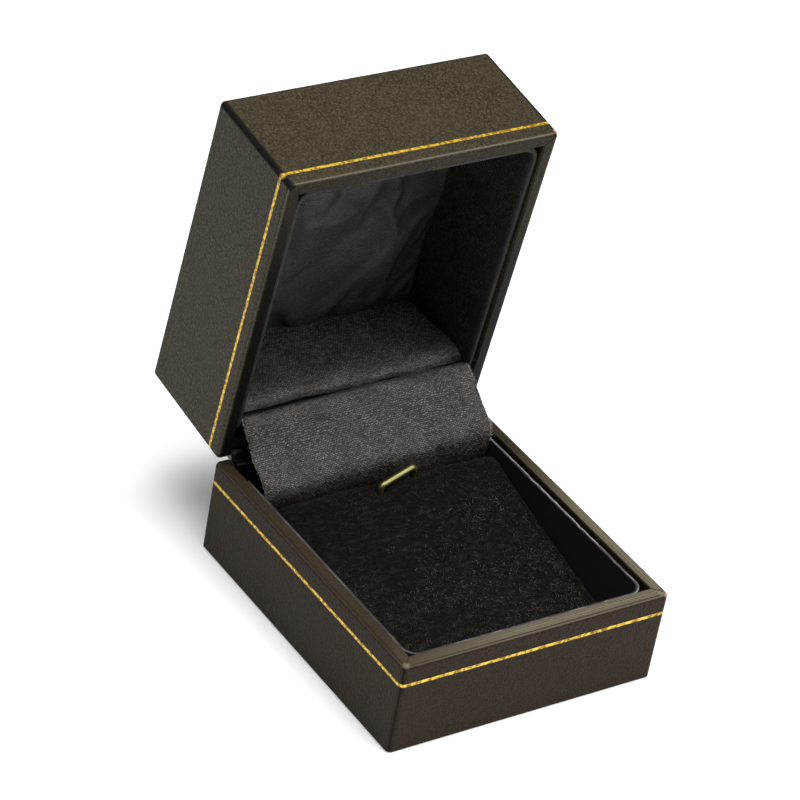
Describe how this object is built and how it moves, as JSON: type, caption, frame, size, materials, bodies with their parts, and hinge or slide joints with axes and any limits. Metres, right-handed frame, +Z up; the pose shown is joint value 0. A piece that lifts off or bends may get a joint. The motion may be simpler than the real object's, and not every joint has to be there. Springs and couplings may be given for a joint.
{
  "type": "pendant box",
  "caption": "Small leatherette presentation box with a snap-hinged lid, satin-lined inside, and a sloping velvet pad with a gilt bridge for a pendant.",
  "frame": {"origin": "centre of the base's underside, on the surface it rests on", "axes": "+Z up, -Y towards the short front face, +X to the right seen from the front; the hinge runs along X at the back"},
  "size_m": [0.054, 0.0829, 0.0814],
  "materials": {
    "shell_plastic": "moulded, matt",
    "leatherette": "brown-black leatherette with a fine grain, semi-matt",
    "gold_foil": "stamped gold foil, bright",
    "sole_paper": "black paper, matt",
    "liner_card": "black card, matt",
    "grey_card": "grey board, matt",
    "foam": "soft grey foam",
    "black_velvet": "black flocked velvet",
    "gilt_wire": "dull gilt",
    "plated_steel": "nickel-plated sheet steel",
    "spring_steel": "blued spring steel",
    "charcoal_satin": "charcoal satin with a soft sheen"
  },
  "bodies": {
    "base": {"base_shell": "shell_plastic", "base_wrap": "leatherette", "base_gold_line": "gold_foil", "base_sole": "sole_paper", "base_liner": "liner_card", "pad_former": "grey_card", "pad_foam": "foam", "velvet_pad": "black_velvet", "pendant_bridge": "gilt_wire", "hinge_leaf_base": "plated_steel", "leaf_rivets_base": "plated_steel", "hinge_pin": "plated_steel", "snap_spring": "spring_steel", "hinge_flap": "charcoal_satin"},
    "lid": {"lid_shell": "shell_plastic", "lid_wrap": "leatherette", "lid_gold_line": "gold_foil", "lid_liner": "liner_card", "lid_wall_satin": "charcoal_satin", "lid_card": "grey_card", "lid_wadding": "foam", "lid_top_satin": "charcoal_satin", "lid_hinge_card": "grey_card", "lid_hinge_satin": "charcoal_satin", "hinge_leaf_lid": "plated_steel", "leaf_rivets_lid": "plated_steel"}
  },
  "joints": [
    {"name": "lid_hinge", "type": "hinge", "parent": "base", "child": "lid", "pos_m": [0, 0.0301, 0.0186], "axis": [1, 0, 0], "range_deg": [0, 82.5], "deforming": ["hinge_flap", "snap_spring"]}
  ]
}
